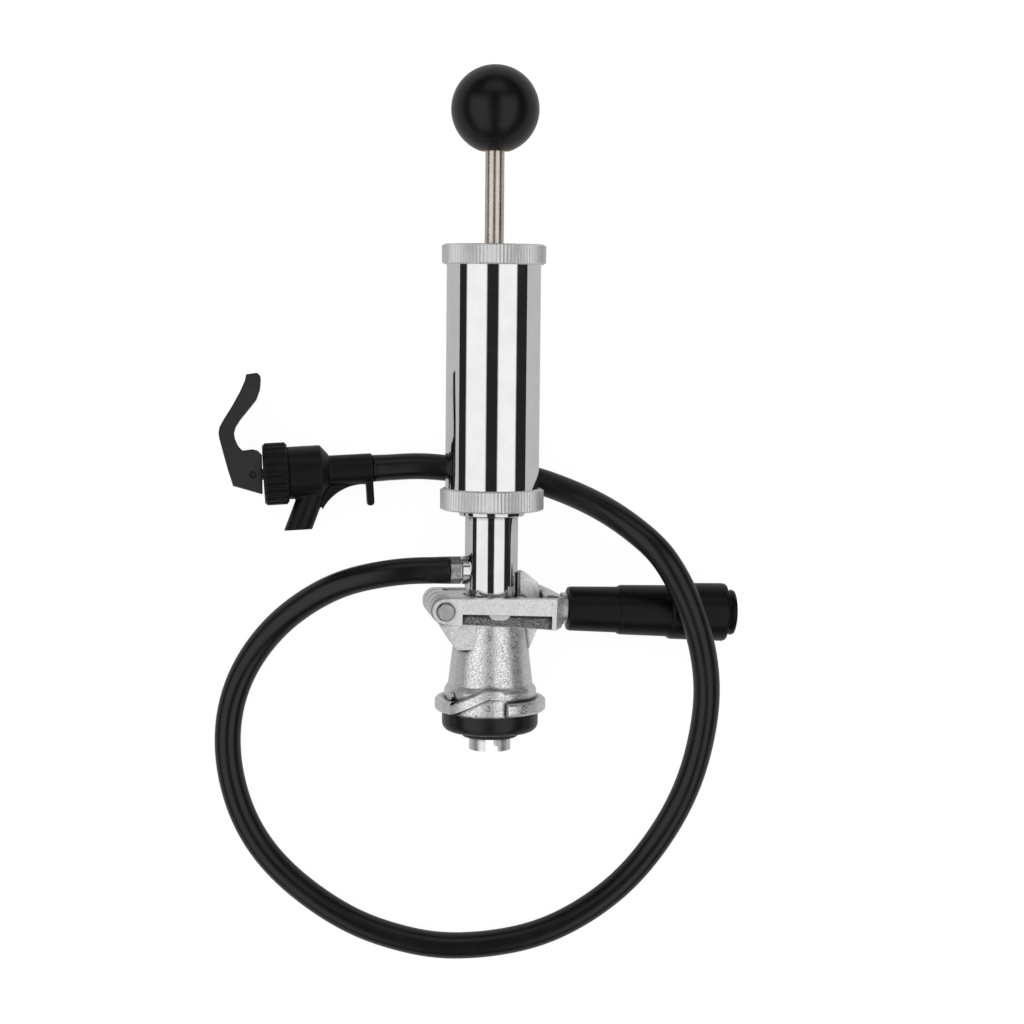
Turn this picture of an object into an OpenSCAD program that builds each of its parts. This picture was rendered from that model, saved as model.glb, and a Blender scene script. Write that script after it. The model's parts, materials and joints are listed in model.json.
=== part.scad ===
// Hand pump for a beer keg: a chromed air pump on a lever-handled bayonet coupler, with its hose and tap.
// It lies on a table as it is stored. Lengths are in millimetres, angles in degrees.
// The pump is drawn upright in its own frame, with its foot at height zero, the grip towards +X and the
// side that looks up from the table towards -Y, and on_table() then lays it down.

/* [Lying on the table] */
// Angle by which the hose under the barrel lifts the knob end
pump_tilt = 5; // [4:0.1:6]
// Angle by which the pump rolls until the grip's end rests on the table
pump_roll = 8.08; // [7:0.01:9]

/* [Pump barrel] */
// Outside diameter of the barrel
barrel_d = 42; // [38:0.5:46]
// Wall of the barrel
barrel_wall = 1.2; // [0.8:0.1:2]
// Length of barrel that shows between the two knurled rings
barrel_shown = 99.8; // [92:0.2:120]
// Outside diameter of both knurled rings
ring_d = 46.5; // [45:0.5:52]
// Height of the lower knurled ring
ring_h = 9.7; // [9:0.1:12]
// Height of the knurled cap
cap_h = 9; // [8:0.1:12]
// Thickness of the cap's flat top
cap_top = 3; // [2:0.1:4]
// Thickness of the lower ring's floor
ring_floor = 3; // [2:0.1:4]
// Number of ridges round a knurled ring
ridge_count = 90; // [60:2:120]
// Depth of the knurling
ridge_depth = 0.4; // [0.2:0.05:0.6]
// Height of the valve block in the barrel's foot
block_h = 6; // [5:0.1:8]
// Diameter of the rubber valve disc
disc_d = 12; // [11:0.1:13]
// Thickness of the rubber valve disc
disc_t = 1.5; // [1:0.1:2]
// Distance that the valve disc drops to open
disc_lift = 1.4; // [1:0.1:1.8]

/* [Rod and knob] */
// Diameter of the pump rod
rod_d = 8.5; // [7.5:0.1:9]
// Diameter of the ball knob
knob_d = 39.2; // [34:0.1:42]
// Length of rod that shows between cap and knob
rod_shown = 40.95; // [38.5:0.05:46]
// Depth to which the insert sits in the knob
insert_depth = 15; // [12:0.5:17]
// Diameter of the threaded insert
insert_d = 12.6; // [11.4:0.1:14]
// Height of the piston's rubber cup
cup_h = 7.2; // [6:0.1:8]
// Height of the piston's middle above the barrel's foot
piston_rest = 49.5; // [49:0.1:52]

/* [Stem and probe] */
// Diameter of the chromed stem
stem_d = 23.8; // [22.5:0.1:24]
// Bore of the stem
stem_bore = 17; // [16:0.1:18]
// Height of the stem's shoulder above the coupler's foot
stem_top = 89; // [86:0.5:96]
// Diameter of the flange under the lower ring
flange_d = 29.5; // [27:0.1:34]
// Thickness of that flange
flange_t = 2.5; // [2:0.1:3.5]
// Height of the beer outlet above the coupler's body
outlet_rise = 11.3; // [10.5:0.1:14]
// Diameter of the outlet's boss on the stem
boss_d = 12.7; // [11:0.1:13]
// Width of the outlet's hexagon across its corners
hex_d = 12.4; // [11:0.1:13.5]
// Length of the outlet's hexagon
hex_l = 5; // [4:0.1:6]
// Diameter of the probe's pronged end
tip_d = 18.6; // [17.8:0.1:19]
// Depth to which the prongs reach below the coupler's foot
tip_reach = 16.9; // [16:0.1:18]
// Diameter of the probe's rubber ring
tip_seal_d = 26; // [25:0.1:26.8]
// Thickness of the probe's rubber ring
tip_seal_t = 2.5; // [2:0.1:2.7]
// Outside diameter of the inner beer tube
beer_tube_d = 10; // [9:0.1:11]
// Bore of the inner beer tube
beer_bore = 7; // [6.8:0.1:7.2]
// Diameter of the check ball
ball_d = 6.4; // [6.2:0.1:6.6]

/* [Coupler body] */
// Diameter of the coupler's skirt
skirt_d = 41.5; // [40:0.1:43]
// Height of the skirt
skirt_h = 10.6; // [9.5:0.1:11]
// Diameter of the cone just above the skirt
cone_d = 38.2; // [37:0.1:39]
// Diameter of the neck
neck_d = 32.2; // [31:0.1:33.5]
// Height at which the cone becomes the neck
neck_h = 38; // [36:0.1:40]
// Height of the coupler body
body_h = 53; // [51:0.1:54]
// Diameter over the bayonet lugs
lug_d = 50; // [48:0.1:51]
// Thickness of the bayonet lugs
lug_t = 5.9; // [5:0.1:6.2]
// Angle that each lug covers
lug_angle = 115; // [100:1:117]
// Width of the ramp ribs
ramp_w = 3.6; // [3:0.1:4]
// Diameter of the neck seal
seal_d = 43.4; // [42:0.1:44]
// Height of the neck seal below the coupler's foot
seal_h = 8.5; // [8:0.1:9]
// Opening of the neck seal
seal_bore = 27.2; // [27:0.1:28]
// Diameter of the hinge pin
pin_d = 6; // [5:0.1:6.4]
// Diameter of the hinge pin's heads
pin_head_d = 7.6; // [7:0.1:8.4]
// Distance from the pump's axis to the hinge pin
hinge_x = 23; // [22.5:0.1:24]
// Height of the hinge pin above the coupler's foot
hinge_h = 48.4; // [48:0.1:49]
// Radius of the hinge knuckle
knuckle_r = 6.1; // [5.6:0.1:6.3]
// Width of the latch ear
ear_w = 10; // [8:0.5:12]

/* [Lever] */
// Distance between the insides of the two arms
arm_gap = 36.4; // [36:0.1:38]
// Thickness of each arm
arm_t = 4.8; // [4.2:0.1:5.4]
// Height of the arms at the nose
arm_h = 13.9; // [13:0.1:14.5]
// Radius of the arms round the hinge pin
arm_eye_r = 5.6; // [5:0.1:6]
// Distance from the pump's axis to the inside of the nose
nose_in = 22.3; // [22.2:0.1:23.5]
// Distance from the pump's axis to the nose's end
nose_out = 32; // [31:0.1:33]
// Diameter of the pins that drive the probe
trunnion_d = 6; // [5.6:0.1:6.4]
// Depth of the slots that take those pins
slot_depth = 3; // [2.5:0.1:3.4]

// Angle by which the lever hangs below square at rest
lever_sag = 1.8; // [1:0.1:2]

/* [Grip] */
// Length of the grip without its end button
grip_l = 73.4; // [68:0.1:80]
// Diameter of the grip's first step
grip_d1 = 20; // [18:0.1:20.5]
// Diameter of the grip's second step
grip_d2 = 22.5; // [21.5:0.1:23.5]
// Diameter of the grip's third step
grip_d3 = 25.5; // [24.5:0.1:26.5]
// Gain in diameter along each step
grip_flare = 0.9; // [0.5:0.1:1]
// Diameter of the end button
button_d = 20.7; // [19:0.1:23]
// Thickness of the end button
button_t = 4; // [3:0.1:5]
// Diameter of the steel tube in the grip
shank_d = 12; // [11.5:0.1:13]
// Diameter of the latch plunger
plunger_d = 5.6; // [5:0.1:5.8]

/* [Tap] */
// Diameter of the tap's ribbed bonnet
bonnet_d = 28.4; // [27:0.1:30]
// Length of the bonnet
bonnet_l = 11.1; // [10:0.1:12]
// Number of ribs round the bonnet
bonnet_ribs = 24; // [16:1:30]
// Diameter of the tap's body
tap_d = 24; // [23:0.1:25]
// Length of the tap's body behind the bonnet
tap_l = 15; // [14.5:0.1:17]
// Length of the shoulder between body and tail
shoulder_l = 3.6; // [3:0.1:5]
// Diameter of the tail that the hose fits
tail_d = 14; // [13.4:0.1:15]
// Length of the tail
tail_l = 19.9; // [18:0.1:21]
// Bore of the tail
tail_bore = 6.4; // [6:0.1:7]
// Bore of the valve chamber
chamber_d = 15; // [14.5:0.1:16]
// Outside diameter of the spout
spout_d = 11.8; // [11:0.1:12.4]
// Bore of the spout
spout_bore = 8.4; // [8:0.1:9]
// Angle at which the spout leans away from the hose
spout_lean = 24; // [22:0.5:25]
// Distance from the tap's axis to the end of the spout
spout_drop = 26.2; // [25:0.1:28]
// Thickness of the finger hook
hook_t = 3.3; // [3:0.1:4]
// Distance from the tap's axis to the hook's end
hook_drop = 17; // [16:0.1:19]
// Width of the hook and of the web
hook_w = 8; // [7:0.1:9]

/* [Tap lever] */
// Length of the thumb lever from its pin to its tip
thumb_l = 46; // [44:0.5:50]
// Width of the thumb lever
thumb_w = 17; // [15:0.1:18]
// Diameter of the valve stem
valve_d = 5; // [4.6:0.1:5.2]
// Diameter of the pin through the thumb lever
thumb_pin_d = 3; // [2.6:0.1:3.2]
// Distance that the valve stem lifts
valve_lift = 3.3; // [3:0.1:3.4]

/* [Hose] */
// Outside diameter of the hose
hose_d = 12; // [11.5:0.1:12]

/* [Hidden] */
$fn = 72;

// Fits: overrun of a cut, running and seated clearance on a radius, and the stand-off of a part at rest
cut = 1;
run = 0.05;
seat = 0.02;
rest = 0.3;
edge = 0.8;

// Heights along the pump, from the coupler's foot upwards
ring_z = stem_top + flange_t;
ring_in = ring_z + ring_floor;
gasket_t = 1;
barrel_z = ring_in + gasket_t;
shown_z = ring_z + ring_h;
cap_z = shown_z + barrel_shown;
cap_in = cap_z + cap_h - cap_top;
cap_end = cap_z + cap_h;
block_top = barrel_z + block_h;
barrel_r = barrel_d / 2;
barrel_in = barrel_r - barrel_wall;
ring_r = ring_d / 2;
rim_t = 0.6;

// Stem
outlet_h = body_h + outlet_rise;
stem_r = stem_d / 2;
stem_foot = 6;
spigot_r = 9.9;
air_r = 3;
cap_wall = 3;
ring_groove_w = 2;
o_ring_r = 0.75;
o_ring_heights = [17, 31];

// Coupler
skirt_r = skirt_d / 2;
skirt_bevel = 1.6;
skirt_step = 2.4;
cone_r = cone_d / 2;
neck_r = neck_d / 2;
lug_r = lug_d / 2;
lug_z = 1.05;
lug_start = -78;
lug_edge = 1;
body_play = 0.5;
body_bore_r = stem_r + body_play;
foot_bore_r = seal_bore / 2;
foot_bore_h = 5;
lip_r = 15;
lip_h = 3;
seal_foot_r = 15.6;
seal_round = 4;
ramp_low = [-19, 3.6];
ramp_knee = [-5, 10.9];
ramp_end = [1.5, 10.9];
washer_t = 0.4;
side_play = 0.05;
knuckle_w = arm_gap - 2 * washer_t - 2 * side_play;
link_w = 28;
link_low = 30;
link_angle = 33;
groove_w = 1.2;
groove_depth = 1;
groove_step = 11;
slot_side = 0.4;
ear_in = 12.6;
ear_out = 21.7;
ear_r = hinge_x + ear_out;
ear_top = 63.8;
ear_up = 14;
ear_down = -12.6;
ear_facets = 10;
ear_crown = [[16.2, 62.6], [14, 63.8], [12.6, 63.4]];
ear_foot = [17, 29.5];
ear_root = [10, 26];
latch_notch = 1.9;
stud_d = 3.8;
stud_angle = 208;
stud_h = 8.9;
stud_out = 1.6;

// Lever
drive_h = hinge_h - hinge_x * sin(lever_sag);
arm_in = arm_gap / 2;
arm_out = arm_in + arm_t;
arm_end = 26.5;
arm_rise = 6.7;
arm_fall = arm_h - arm_rise;
recess_depth = 1.5;
recess_start = -15.5;
recess_margin = 2;
recess_end = arm_end - recess_margin;
recess_top = -1;
nose_half = 8;
nose_top = 8.9;
nose_slope = 3.3;
nose_chamfer = 1.6;
shank_spigot_r = 5;
shank_spigot_l = 5;
shank_seat = nose_out - shank_spigot_l;
slot_play = 0.4;
slot_run = 2.6;
pin_head_t = 1.2;

// Grip
washer_w = 2.2;
washer_r = 7.2;
grip_z = nose_out + washer_w + rest;
grip_end = grip_z + grip_l;
step_1 = 23;
step_2 = 46.4;
shank_r = shank_d / 2;
shank_short = 12;
shank_end = grip_end - shank_short;
shank_bore_r = 4.5;
shank_wall = 1;
spring_room = 28;
stop_x = nose_out + spring_room;
stop_t = 4;
plunger_r = plunger_d / 2;
tip_out = 0.2;
plunger_tip = nose_in - tip_out;
plunger_back = 4;
plunger_seat = nose_out + plunger_back;
plunger_collar = 3;
plunger_collar_r = 4.3;
plunger_rod_r = 2;
latch_travel = 5;
spring_wire = 1.4;

// Piston
piston_z = block_top + piston_rest;
cup_z = piston_z - cup_h / 2;
upper_z = cup_z + cup_h + rest;
plate_t = 2.5;
lower_z = cup_z - rest - plate_t;
plate_r = 16;
cup_r = barrel_in - run;
bumper_t = 4.7;
bumper_r = 9;
nut_d = 15;
nut_t = 4.5;
rod_r = rod_d / 2;
bushing_r = 7;
bushing_flange_r = 10;
bushing_t = 3.5;
knob_r = knob_d / 2;
insert_z = cap_end + rod_shown;
knob_z = insert_z + sqrt(knob_r * knob_r - insert_d * insert_d / 4);
thread_end = 3.2;
disc_pocket = 0.9;
vent_r = 1.5;
vent_ring = 14;

// Beer way
beer_foot = -12;
beer_head_r = stem_bore / 2 - run;
beer_head_low = 5;
beer_head_z = outlet_h - beer_head_low;
beer_head_h = 10;
beer_head_wall = 3;
ball_seat_r = 2.2;
ball_seat_h = 3;
ball_rest = 2.65;
ball_lift = 3;
ball_pin_r = 0.7;
ball_z = beer_foot + ball_seat_h + ball_rest;
stop_h = ball_z + ball_d / 2 + ball_lift + ball_pin_r + rest;
nipple_r = 4;
nipple_bore_r = 2.6;
nipple_in = 2;
boss_out = 13.3;
groove_l = 0.5;
groove_r = 5;
hex_in = boss_out + groove_l;
outlet_out = hex_in + hex_l;
tip_flange_r = 11.8;
tip_spigot_l = 10;
prong_in_r = 6;
prong_gap = 3;
prong_root = 11.5;
air_hole_r = 1;
air_ring = 6.9;

// Tap, along its own axis from the bonnet's face towards the hose
bonnet_r = bonnet_d / 2;
bonnet_top = 3;
tap_neck_r = 10;
tap_seal_t = 1;
tap_z = bonnet_l;
shoulder_z = tap_z + tap_l;
tail_z = shoulder_z + shoulder_l;
tail_end = tail_z + tail_l;
tap_r = tap_d / 2;
tail_r = tail_d / 2;
chamber_short = 0.7;
chamber_end = tail_z - chamber_short;
valve_seal_t = 2.7;
valve_seal_z = chamber_end - rest - valve_seal_t;
valve_seal_r = 6;
valve_flange_t = 2;
valve_flange_r = 5.4;
valve_r = valve_d / 2;
valve_tip_r = 2;
spring_r = 5.2;
spring_in = 3;
spring_l = valve_seal_z - valve_flange_t - valve_lift - rest - bonnet_top;
spout_x = 22;
spout_top = -8.6;
spout_root = -8;
bore_root = -6;
web_r = 22;
web_shares = [0.35, 0.72];
hook_x = tail_end - hook_t / 2;
thumb_pin_x = -4.9;
thumb_slot = 2.9;
thumb_pin_l = 15;

// Outline of the thumb lever round its pin, in shares of its length from pin to tip
thumb_shares = [[0.10, 0.19], [0.06, 0.235], [0.01, 0.25], [-0.05, 0.245], [-0.09, 0.242], [-0.13, 0.295],
    [-0.155, 0.365], [-0.16, 0.425], [-0.14, 0.485], [-0.09, 0.555], [0.0, 0.655], [0.08, 0.745],
    [0.12, 0.84], [0.132, 0.92], [0.13, 0.965], [0.10, 1.0], [-0.01, 0.99], [-0.025, 0.93], [-0.075, 0.83],
    [-0.165, 0.685], [-0.26, 0.55], [-0.30, 0.485], [-0.312, 0.43], [-0.31, 0.39], [-0.28, 0.245],
    [-0.245, 0.08], [-0.20, -0.095], [0.085, -0.195]];

// Place of the lying pump and of the tap, from the middle of the whole thing
pump_x = 6.84;
pump_y = -135.16;
axis_h = lug_r * cos(pump_tilt) - (ramp_end[1] - ramp_w / 2) * sin(pump_tilt);
tap_x = -97.46;
tap_y = -28.96;
tap_dip = 6.5;
tap_turn = 3.9;
tap_h = bonnet_r * cos(tap_dip) + bonnet_l * sin(tap_dip);

// Hose: route of its middle over the table, from the outlet round to the tap
hose_r = hose_d / 2;
hose_sides = 12;
hose_route = [[-33.5, -72, 34.5], [-45.5, -74, 33.5], [-60.5, -77.5, 29], [-75.5, -85.5, 23],
    [-90.5, -96.5, 15], [-103.5, -112.5, 9], [-111.5, -129.5, 6], [-114.5, -148.5, 6],
    [-112.5, -167.5, 6], [-106.5, -186.5, 6], [-96.5, -202.5, 6], [-83.5, -215.5, 6], [-68.5, -226.5, 6],
    [-52.5, -235.5, 6], [-36.5, -240.5, 6], [-19.5, -244.5, 6], [-2.5, -244.5, 6], [14.5, -242.5, 6],
    [30.5, -238.5, 6], [45.5, -231.5, 6], [60.5, -221.5, 6], [72.5, -210.5, 6], [83.5, -196.5, 6.5],
    [92.5, -181.5, 8.5], [99.5, -164.5, 12.5], [103.5, -145.5, 18.5], [105.5, -125.5, 25.5],
    [102.5, -105.5, 32], [96.5, -86.5, 37.5], [86.5, -67.5, 40.6], [78.5, -58.5, 39.4],
    [68.5, -50.5, 35.4], [58.5, -43.5, 28.8], [46.5, -37.5, 19.8], [36.5, -33.5, 13.2], [26.5, -30, 8.7],
    [16.5, -28, 6.5], [6.5, -27, 6], [-4.5, -26, 6], [-14.5, -25, 6], [-26.5, -24.5, 6.8]];
outlet_face = laid([-outlet_out, 0, outlet_h]);
outlet_lead = laid([-outlet_out - hose_d, 0, outlet_h]);
tail_face = tap_point([tail_end, 0, 0]);
tail_lead = tap_point([tail_end + hose_d, 0, 0]);
hose_points = concat([outlet_face, outlet_lead], hose_route, [tail_lead, tail_face]);

function scaled(points, size) = [for (p = points) p * size];

// The pump's upright frame laid on the table: point and direction
function laid_dir(p) =
    let(x = p[0] * cos(pump_roll) - p[1] * sin(pump_roll), y = p[0] * sin(pump_roll) + p[1] * cos(pump_roll))
    [x, y * sin(pump_tilt) + p[2] * cos(pump_tilt), p[2] * sin(pump_tilt) - y * cos(pump_tilt)];
function laid(p) = laid_dir(p) + [pump_x, pump_y, axis_h];

// The tap's frame on the table: point and direction
function tap_dir(p) =
    let(x = p[0] * cos(tap_dip) + p[2] * sin(tap_dip))
    [x * cos(tap_turn) - p[1] * sin(tap_turn), x * sin(tap_turn) + p[1] * cos(tap_turn),
        p[2] * cos(tap_dip) - p[0] * sin(tap_dip)];
function tap_point(p) = tap_dir(p) + [tap_x, tap_y, tap_h];

module on_table() {
    translate([pump_x, pump_y, axis_h]) rotate([pump_tilt - 90, 0, 0]) rotate([0, 0, pump_roll]) children();
}

module on_tap() {
    translate([tap_x, tap_y, tap_h]) rotate([0, tap_dip, tap_turn]) children();
}

// The lever's own frame, which hangs a little below square from its hinge
module on_lever() {
    on_table() translate([-hinge_x, 0, hinge_h]) rotate([0, lever_sag, 0])
        translate([hinge_x, 0, -hinge_h]) children();
}

// A round solid along +X of the pump or the tap, from one place to another
module along_x(r, from, to) {
    translate([from, 0, 0]) rotate([0, 90, 0]) cylinder(r = r, h = to - from);
}

// The same at the height of the lever
module at_lever(r, from, to) {
    translate([0, 0, hinge_h]) along_x(r, from, to);
}

module tube(r_out, r_in, from, to) {
    translate([0, 0, from]) difference() {
        cylinder(r = r_out, h = to - from);
        translate([0, 0, -cut]) cylinder(r = r_in, h = to - from + 2 * cut);
    }
}

module rod_up(r, from, to) {
    translate([0, 0, from]) cylinder(r = r, h = to - from);
}

// An outline drawn in X and height, as thick as w across the pump
module side_plate(w) {
    rotate([90, 0, 0]) linear_extrude(height = w, center = true) children();
}

// An outline drawn in the tap's length and height, as thick as w across it
module tap_plate(w) {
    linear_extrude(height = w, center = true) children();
}

// A ring with straight knurling between bevelled rims
module knurled(h) {
    root = ring_r - ridge_depth;
    translate([0, 0, rim_t]) linear_extrude(height = h - 2 * rim_t)
        polygon([for (i = [0 : 2 * ridge_count - 1])
            let(a = 180 * i / ridge_count, r = ring_r - (i % 2) * ridge_depth) [r * cos(a), r * sin(a)]]);
    rotate_extrude() polygon([[0, 0], [root - edge, 0], [root - run, rim_t], [root - run, h - rim_t],
        [root - edge, h], [0, h]]);
}

// Coupler body

module lug() {
    rotate([0, 0, lug_start]) rotate_extrude(angle = lug_angle) polygon([[skirt_r - cut, lug_z],
        [lug_r - lug_edge, lug_z], [lug_r, lug_z + lug_edge], [lug_r, lug_z + lug_t - lug_edge],
        [lug_r - lug_edge, lug_z + lug_t], [skirt_r - cut, lug_z + lug_t]]);
}

// A ramp rib's outline: a band that rises from its low end to a knee and runs on level, with round ends
function ramp_outline() =
    let(rise = atan2(ramp_knee[1] - ramp_low[1], ramp_knee[0] - ramp_low[0]), half = ramp_w / 2,
        mitre = [-tan(rise / 2), 1] * half)
    concat([ramp_knee + mitre], [for (a = [90 : -15 : -90]) ramp_end + half * [cos(a), sin(a)]],
        [ramp_knee - mitre],
        [for (a = [-90 : -15 : -270]) ramp_low + half * [cos(a + rise), sin(a + rise)]]);

module ramp() {
    intersection() {
        translate([0, -lug_r / 2 - cut, 0]) side_plate(lug_r) polygon(ramp_outline());
        rod_up(lug_r, 0, body_h);
    }
}

module knuckle() {
    core = knuckle_r - groove_depth;
    translate([-hinge_x, 0, hinge_h]) difference() {
        rotate([90, 0, 0]) cylinder(r = knuckle_r, h = knuckle_w, center = true);
        for (y = [-groove_step, 0, groove_step]) translate([0, y, 0]) rotate([90, 0, 0]) difference() {
            cylinder(r = knuckle_r + cut, h = groove_w, center = true);
            cylinder(r = core, h = groove_w + cut, center = true);
        }
    }
    side_plate(link_w) polygon([[-hinge_x, hinge_h + core], [-neck_r / 2, hinge_h + core],
        [-neck_r / 2, link_low], [-neck_r - edge, link_low],
        [-hinge_x - core * cos(link_angle), hinge_h - core * sin(link_angle)], [-hinge_x, hinge_h]]);
}

module ear() {
    side_plate(ear_w) difference() {
        polygon(concat([for (i = [0 : ear_facets]) let(a = ear_down + (ear_up - ear_down) * i / ear_facets)
            [ear_r * cos(a) - hinge_x, ear_r * sin(a) + hinge_h]], ear_crown,
            [[ear_in, body_h - edge], ear_root, ear_foot]));
        translate([-hinge_x, hinge_h]) rotate(-lever_sag) translate([ear_r + latch_notch / 2, 0])
            circle(r = plunger_r + rest);
    }
}

module coupler_body() {
    color("silver") on_table() difference() {
        union() {
            rotate_extrude() polygon([[0, 0], [skirt_r, 0], [skirt_r, skirt_h],
                [cone_r + edge, skirt_h + skirt_bevel], [cone_r, skirt_h + skirt_step], [neck_r, neck_h],
                [neck_r, body_h - edge], [neck_r - edge, body_h], [0, body_h]]);
            for (turn = [0, 180]) rotate([0, 0, turn]) {
                lug();
                ramp();
            }
            knuckle();
            ear();
        }
        rod_up(body_bore_r, -cut, ear_top + cut);
        rod_up(foot_bore_r, -cut, foot_bore_h);
        rod_up(lip_r + run, -cut, lip_h + run);
        translate([-hinge_x, 0, hinge_h]) rotate([90, 0, 0])
            cylinder(r = pin_d / 2 + seat, h = knuckle_w + cut, center = true);
        for (side = [-1, 1]) translate([0, side * neck_r, 0]) {
            translate([0, 0, drive_h]) rotate([90, 0, 0])
                cylinder(r = trunnion_d / 2 + slot_side, h = neck_r, center = true);
            translate([-trunnion_d / 2 - slot_side, -neck_r / 2, drive_h])
                cube([trunnion_d + 2 * slot_side, neck_r, body_h]);
        }
        rotate([0, 0, stud_angle]) translate([0, 0, stud_h])
            along_x(stud_d / 4 + seat, skirt_r - 2 * edge, lug_r);
    }
}

module bottom_seal() {
    color([0.07, 0.07, 0.07]) on_table() rotate_extrude() polygon(concat(
        [[foot_bore_r, -seal_h], [seal_foot_r, -seal_h]],
        [for (a = [-75 : 15 : 0])
            [seal_d / 2 + seal_round * (cos(a) - 1), seal_round * (sin(a) + 1) - seal_h]],
        [[seal_d / 2, 0], [lip_r, 0], [lip_r, lip_h], [foot_bore_r, lip_h]]));
}

module hinge_pin() {
    color("gray") on_table() translate([-hinge_x, 0, hinge_h]) rotate([90, 0, 0]) {
        cylinder(d = pin_d, h = 2 * arm_out + 2 * rest, center = true);
        for (side = [0, 180]) rotate([side, 0, 0]) translate([0, 0, arm_out + rest / 3]) {
            cylinder(d = pin_head_d, h = pin_head_t - edge / 2);
            translate([0, 0, pin_head_t - edge / 2])
                cylinder(d1 = pin_head_d, d2 = pin_head_d - edge, h = edge / 2);
        }
    }
}

module hinge_washers() {
    color("lightgray") on_table() translate([-hinge_x, 0, hinge_h]) rotate([90, 0, 0])
        for (side = [0, 180]) rotate([side, 0, 0])
            tube(arm_eye_r + rest, pin_d / 2 + seat, knuckle_w / 2, knuckle_w / 2 + washer_t);
}

module index_stud() {
    color("white") on_table() rotate([0, 0, stud_angle]) translate([0, 0, stud_h]) {
        along_x(stud_d / 4, skirt_r - 2 * edge, skirt_r + edge / 4);
        along_x(stud_d / 2, skirt_r + edge / 4, skirt_r + stud_out);
    }
}

// Lever

module arm_outline() {
    polygon([[-hinge_x, hinge_h + arm_eye_r], [arm_end, hinge_h + arm_rise], [arm_end, hinge_h - arm_fall],
        [-hinge_x, hinge_h - arm_eye_r]]);
    translate([-hinge_x, hinge_h]) circle(r = arm_eye_r);
}

module nose() {
    intersection() {
        translate([0, 0, hinge_h - arm_h]) linear_extrude(height = 2 * arm_h) polygon([[nose_in, -arm_out],
            [arm_end, -arm_out], [nose_out, -nose_half], [nose_out, nose_half], [arm_end, arm_out],
            [nose_in, arm_out]]);
        side_plate(2 * arm_out) polygon([[nose_in, hinge_h - arm_fall],
            [nose_out - nose_chamfer, hinge_h - arm_fall], [nose_out, hinge_h - arm_fall + nose_chamfer],
            [nose_out, hinge_h + nose_top - nose_slope],
            [nose_in + nose_chamfer, hinge_h + nose_top], [nose_in, hinge_h + nose_top - nose_chamfer]]);
        union() {
            side_plate(4 * nose_half) translate([0, hinge_h - arm_h]) square([2 * nose_out, 2 * arm_h]);
            side_plate(2 * arm_out) translate([0, hinge_h - arm_h]) square([2 * nose_out, arm_h + arm_rise]);
        }
    }
}

module yoke() {
    color("lightgray") on_lever() difference() {
        union() {
            for (side = [-1, 1]) translate([0, side * (arm_in + arm_t / 2), 0])
                side_plate(arm_t) arm_outline();
            nose();
        }
        for (side = [-1, 1]) {
            translate([recess_start, side * arm_out - recess_depth, hinge_h - arm_h])
                cube([recess_end - recess_start, 2 * recess_depth, arm_h + recess_top]);
            translate([0, side * arm_in, hinge_h]) rotate([90, 0, 0]) {
                for (x = [-rest, slot_run]) translate([x, 0, 0])
                    cylinder(d = trunnion_d + 2 * slot_play, h = 2 * slot_depth, center = true);
                translate([-rest, -trunnion_d / 2 - slot_play, -slot_depth])
                    cube([slot_run + rest, trunnion_d + 2 * slot_play, 2 * slot_depth]);
            }
        }
        translate([-hinge_x, 0, hinge_h]) rotate([90, 0, 0])
            cylinder(d = pin_d + 2 * run, h = 2 * arm_out + cut, center = true);
        at_lever(plunger_r + 2 * run, nose_in - cut, nose_out + cut);
        at_lever(shank_spigot_r + seat, shank_seat, nose_out + cut);
    }
}

module handle_shank() {
    color("silver") on_lever() difference() {
        union() {
            at_lever(shank_spigot_r, shank_seat, nose_out);
            at_lever(shank_r, nose_out, shank_end);
        }
        at_lever(plunger_r + 2 * run, shank_seat - cut, shank_end + cut);
        at_lever(shank_bore_r, nose_out + shank_wall, stop_x);
        at_lever(shank_bore_r, stop_x + stop_t, shank_end + cut);
    }
}

module grip_washer() {
    color("white") on_lever() difference() {
        at_lever(washer_r, nose_out, nose_out + washer_w);
        at_lever(shank_r + seat, nose_out - cut, grip_z + cut);
    }
}

// One step of the grip, with rounded rims
module grip_step(d, from, to) {
    translate([from, 0, hinge_h]) rotate([0, 90, 0]) rotate_extrude() polygon([[0, 0], [d / 2 - 2 * edge, 0],
        [d / 2 - edge / 2, edge / 2], [d / 2, 2 * edge], [(d + grip_flare) / 2, to - from - 2 * edge],
        [(d + grip_flare) / 2 - edge / 2, to - from - edge / 2],
        [(d + grip_flare) / 2 - 2 * edge, to - from], [0, to - from]]);
}

module grip_sleeve() {
    color([0.08, 0.08, 0.08]) on_lever() difference() {
        union() {
            grip_step(grip_d1, grip_z, grip_z + step_1 + 3 * edge);
            grip_step(grip_d2, grip_z + step_1, grip_z + step_2 + 3 * edge);
            grip_step(grip_d3, grip_z + step_2, grip_end);
        }
        at_lever(shank_r + 2 * run, grip_z - cut, grip_end + cut);
    }
}

module grip_end_cap() {
    color([0.1, 0.1, 0.1]) on_lever() difference() {
        union() {
            grip_step(button_d - grip_flare, grip_end, grip_end + button_t);
            at_lever(shank_r + 2 * run - seat, shank_end + latch_travel + rest, grip_end);
        }
        at_lever(plunger_rod_r + seat, shank_end, grip_end);
    }
}

module latch_plunger() {
    color("silver") on_lever() {
        at_lever(plunger_r, plunger_tip, plunger_seat);
        at_lever(plunger_collar_r, plunger_seat, plunger_seat + plunger_collar);
        at_lever(plunger_rod_r, plunger_seat + plunger_collar, grip_end - edge);
    }
}

module latch_spring() {
    color("gray") on_lever() difference() {
        at_lever(plunger_collar_r - run, plunger_seat + plunger_collar + latch_travel + rest, stop_x);
        at_lever(plunger_collar_r - spring_wire, plunger_seat, stop_x + cut);
    }
}

// Stem and probe

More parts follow.
